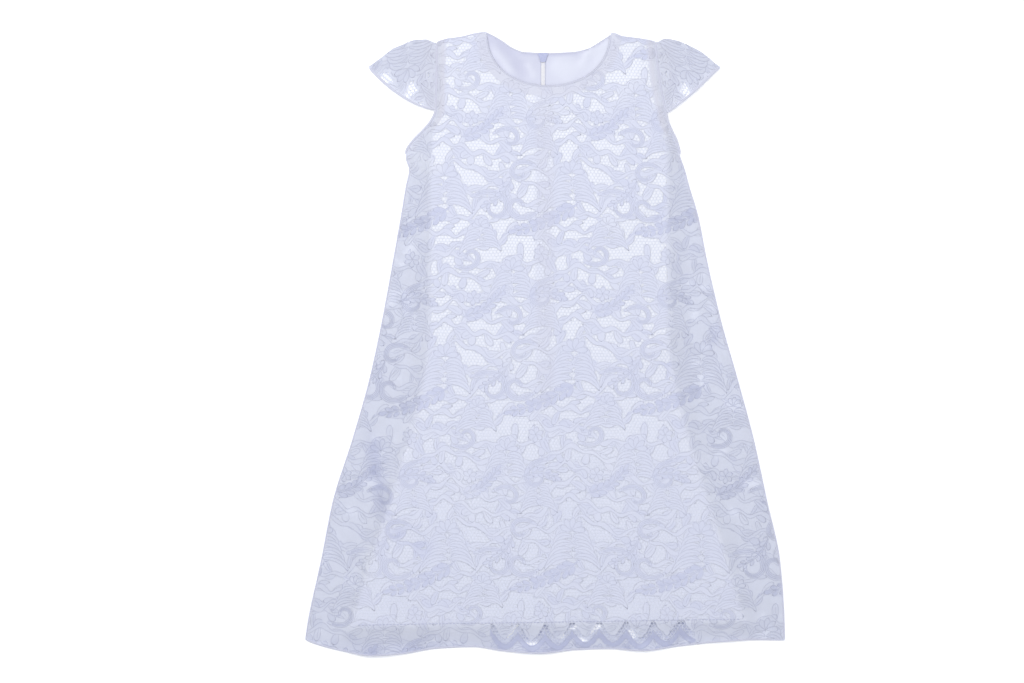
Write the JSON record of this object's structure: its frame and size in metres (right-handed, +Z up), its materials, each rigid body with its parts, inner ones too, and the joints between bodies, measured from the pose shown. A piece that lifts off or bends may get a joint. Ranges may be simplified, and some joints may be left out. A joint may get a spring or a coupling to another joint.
{
  "type": "lace dress",
  "caption": "Child's A-line dress laid flat: lace over a satin lining, lace cap sleeves, round neck and a zip down the centre back.",
  "frame": {"origin": "middle of the laid dress, on the surface that it lies on", "axes": "+Y from the hem to the neck, +Z up out of the front, +X to the right as seen from above"},
  "size_m": [0.48, 0.6239, 0.0093],
  "materials": {
    "lace": "matt",
    "satin_lining": "satin",
    "zip_tape": "matt",
    "zip_coil": "satin",
    "zip_metal": "satin"
  },
  "bodies": {
    "dress": {"front_lace": "lace", "front_lining": "satin_lining", "back_lace_left": "lace", "back_lace_right": "lace", "back_lining_left": "satin_lining", "back_lining_right": "satin_lining", "sleeve_left": "lace", "sleeve_right": "lace", "zip_tape_left": "zip_tape", "zip_tape_right": "zip_tape", "zip_chain": "zip_coil", "zip_slider": "zip_metal"},
    "pull": {"zip_pull": "zip_metal"}
  },
  "joints": [
    {"name": "pull_swing", "type": "hinge", "parent": "dress", "child": "pull", "pos_m": [-0.002, 0.2862, 0.00135], "axis": [1, 0, 0], "range_deg": [0, 170]}
  ]
}
